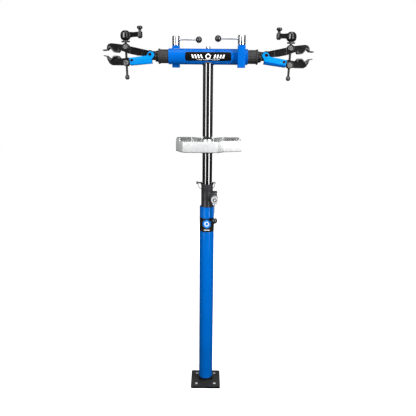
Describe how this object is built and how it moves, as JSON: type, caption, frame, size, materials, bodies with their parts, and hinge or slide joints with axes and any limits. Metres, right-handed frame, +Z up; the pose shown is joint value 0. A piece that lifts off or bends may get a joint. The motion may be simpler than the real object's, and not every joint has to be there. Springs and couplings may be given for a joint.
{
  "type": "bike repair stand",
  "caption": "Floor-mounted bike repair stand: a telescoping post with a tool tray and a cross bar whose ends each carry a turning, screw-operated jaw clamp.",
  "frame": {"origin": "on the floor, at the centre of the base plate's underside, on the axis of the upright", "axes": "+Z up along the upright, +X along the cross bar towards the right clamp seen from the front, -Y is the front"},
  "size_m": [0.83, 0.167, 1.5756],
  "materials": {
    "bluepaint": "gloss powder coat",
    "bracket_blue": "gloss powder coat on pressed steel",
    "gloss_black": "gloss enamel on steel tube",
    "cast_black": "satin textured powder coat",
    "arm_black": "black powder coat on cast aluminium",
    "sleeve_black": "ribbed moulding",
    "chrome": "polished",
    "zinc_steel": "zinc plated, machined",
    "dark_steel": "black oxide",
    "ball_black": "polished phenolic",
    "jaw_rubber": "matte, lightly marked",
    "tray_steel": "bright zinc plate on folded sheet"
  },
  "bodies": {
    "stand": {"base_plate": "cast_black", "base_socket": "cast_black", "outer_post": "bluepaint", "height_collar": "cast_black", "height_bolt": "dark_steel"},
    "height_lever": {"height_lever_hub": "chrome", "height_lever_rod": "chrome", "height_lever_ball": "ball_black"},
    "mast": {"mast": "gloss_black", "mast_plug": "zinc_steel", "hitch_pin": "zinc_steel", "bar": "bluepaint", "bar_bolt": "chrome", "left_lock_wedge": "zinc_steel", "left_lock_bolt": "dark_steel", "right_lock_wedge": "zinc_steel", "right_lock_bolt": "dark_steel"},
    "pin_bail": {"pin_bail": "zinc_steel"},
    "tray_carriage": {"tray_collar": "cast_black"},
    "tray_knob": {"tray_knob": "ball_black"},
    "tray": {"tray": "tray_steel"},
    "right_clamp": {"right_sleeve": "sleeve_black", "right_shaft": "zinc_steel", "right_neck_ring": "zinc_steel", "right_upper_jaw": "arm_black", "right_upper_jaw_cover": "jaw_rubber", "right_pivot_bolt": "dark_steel"},
    "right_jaw": {"right_bracket": "bracket_blue", "right_bracket_bolt": "dark_steel", "right_lower_jaw": "arm_black", "right_lower_jaw_cover": "jaw_rubber"},
    "right_screw_pivot": {"right_upper_trunnion": "zinc_steel"},
    "right_crank": {"right_screw": "dark_steel", "right_screw_end": "ball_black", "right_crank": "arm_black"},
    "right_crank_knob": {"right_crank_knob": "ball_black"},
    "right_jaw_nut": {"right_lower_trunnion": "zinc_steel"},
    "right_lever": {"right_lever_hub": "chrome", "right_lever_rod": "chrome", "right_lever_ball": "ball_black"},
    "left_clamp": {"left_sleeve": "sleeve_black", "left_shaft": "zinc_steel", "left_neck_ring": "zinc_steel", "left_upper_jaw": "arm_black", "left_upper_jaw_cover": "jaw_rubber", "left_pivot_bolt": "dark_steel"},
    "left_jaw": {"left_bracket": "bracket_blue", "left_bracket_bolt": "dark_steel", "left_lower_jaw": "arm_black", "left_lower_jaw_cover": "jaw_rubber"},
    "left_screw_pivot": {"left_upper_trunnion": "zinc_steel"},
    "left_crank": {"left_screw": "dark_steel", "left_screw_end": "ball_black", "left_crank": "arm_black"},
    "left_crank_knob": {"left_crank_knob": "ball_black"},
    "left_jaw_nut": {"left_lower_trunnion": "zinc_steel"},
    "left_lever": {"left_lever_hub": "chrome", "left_lever_rod": "chrome", "left_lever_ball": "ball_black"}
  },
  "joints": [
    {"name": "height_slide", "type": "slide", "parent": "stand", "child": "mast", "axis": [0, 0, 1], "range_m": [0, 0.2]},
    {"name": "height_lever_turn", "type": "hinge", "parent": "stand", "child": "height_lever", "pos_m": [0.032, 0, 0.885], "axis": [0, -1, 0], "range_deg": [-100, 100]},
    {"name": "pin_bail_swing", "type": "hinge", "parent": "mast", "child": "pin_bail", "pos_m": [0, 0, 0.9482], "axis": [1, 0, 0], "range_deg": [0, 105]},
    {"name": "tray_slide", "type": "slide", "parent": "mast", "child": "tray_carriage", "axis": [0, 0, 1], "range_m": [-0.08, 0.2]},
    {"name": "tray_knob_turn", "type": "hinge", "parent": "tray_carriage", "child": "tray_knob", "pos_m": [0, 0.05, 1.0762], "axis": [0, 1, 0], "range_deg": [0, 720]},
    {"name": "tray_swivel", "type": "hinge", "parent": "tray_carriage", "child": "tray", "pos_m": [0, 0, 1.096], "axis": [0, 0, 1], "continuous": true},
    {"name": "right_clamp_turn", "type": "hinge", "parent": "mast", "child": "right_clamp", "pos_m": [0.18, 0, 1.46], "axis": [1, 0, 0], "continuous": true},
    {"name": "right_lever_turn", "type": "hinge", "parent": "mast", "child": "right_lever", "pos_m": [0.13, -0.0375, 1.54], "axis": [0, 0, 1], "range_deg": [-30, 150]},
    {"name": "right_screw_swing", "type": "hinge", "parent": "right_clamp", "child": "right_screw_pivot", "pos_m": [0.326, 0, 1.4935], "axis": [0, 1, 0], "range_deg": [-10, 10]},
    {"name": "right_crank_turn", "type": "hinge", "parent": "right_screw_pivot", "child": "right_crank", "pos_m": [0.326, 0, 1.4935], "axis": [0.037, 0, 0.9993], "range_deg": [-785, 1852]},
    {"name": "right_knob_spin", "type": "hinge", "parent": "right_crank", "child": "right_crank_knob", "pos_m": [0.28072, 0.0354, 1.49518], "axis": [0.037, 0, 0.9993], "continuous": true},
    {"name": "right_jaw_swing", "type": "hinge", "parent": "right_clamp", "child": "right_jaw", "pos_m": [0.23, 0, 1.467], "axis": [0, 1, 0], "range_deg": [-6.7, 15.8]},
    {"name": "right_nut_swing", "type": "hinge", "parent": "right_jaw", "child": "right_jaw_nut", "pos_m": [0.32362, 0, 1.42938], "axis": [0, 1, 0], "range_deg": [-10, 10]},
    {"name": "left_clamp_turn", "type": "hinge", "parent": "mast", "child": "left_clamp", "pos_m": [-0.18, 0, 1.46], "axis": [-1, 0, 0], "continuous": true},
    {"name": "left_lever_turn", "type": "hinge", "parent": "mast", "child": "left_lever", "pos_m": [-0.13, 0.0375, 1.54], "axis": [0, 0, 1], "range_deg": [-30, 150]},
    {"name": "left_screw_swing", "type": "hinge", "parent": "left_clamp", "child": "left_screw_pivot", "pos_m": [-0.326, 0, 1.4935], "axis": [0, -1, 0], "range_deg": [-10, 10]},
    {"name": "left_crank_turn", "type": "hinge", "parent": "left_screw_pivot", "child": "left_crank", "pos_m": [-0.326, 0, 1.4935], "axis": [-0.0165, 0, 0.9999], "range_deg": [-529, 2116]},
    {"name": "left_knob_spin", "type": "hinge", "parent": "left_crank", "child": "left_crank_knob", "pos_m": [-0.26851, 0, 1.49445], "axis": [-0.0165, 0, 0.9999], "continuous": true},
    {"name": "left_jaw_swing", "type": "hinge", "parent": "left_clamp", "child": "left_jaw", "pos_m": [-0.23, 0, 1.467], "axis": [0, -1, 0], "range_deg": [-4.5, 18]},
    {"name": "left_nut_swing", "type": "hinge", "parent": "left_jaw", "child": "left_jaw_nut", "pos_m": [-0.325, 0, 1.433], "axis": [0, -1, 0], "range_deg": [-10, 10]}
  ],
  "couplings": [
    {"joint": "right_jaw_swing", "follows": "right_crank_turn", "ratio": 0.0085306},
    {"joint": "right_screw_swing", "follows": "right_crank_turn", "ratio": 0.0044824},
    {"joint": "right_nut_swing", "follows": "right_crank_turn", "ratio": -0.0040482},
    {"joint": "left_jaw_swing", "follows": "left_crank_turn", "ratio": 0.0085056},
    {"joint": "left_screw_swing", "follows": "left_crank_turn", "ratio": 0.0044785},
    {"joint": "left_nut_swing", "follows": "left_crank_turn", "ratio": -0.0040271}
  ]
}
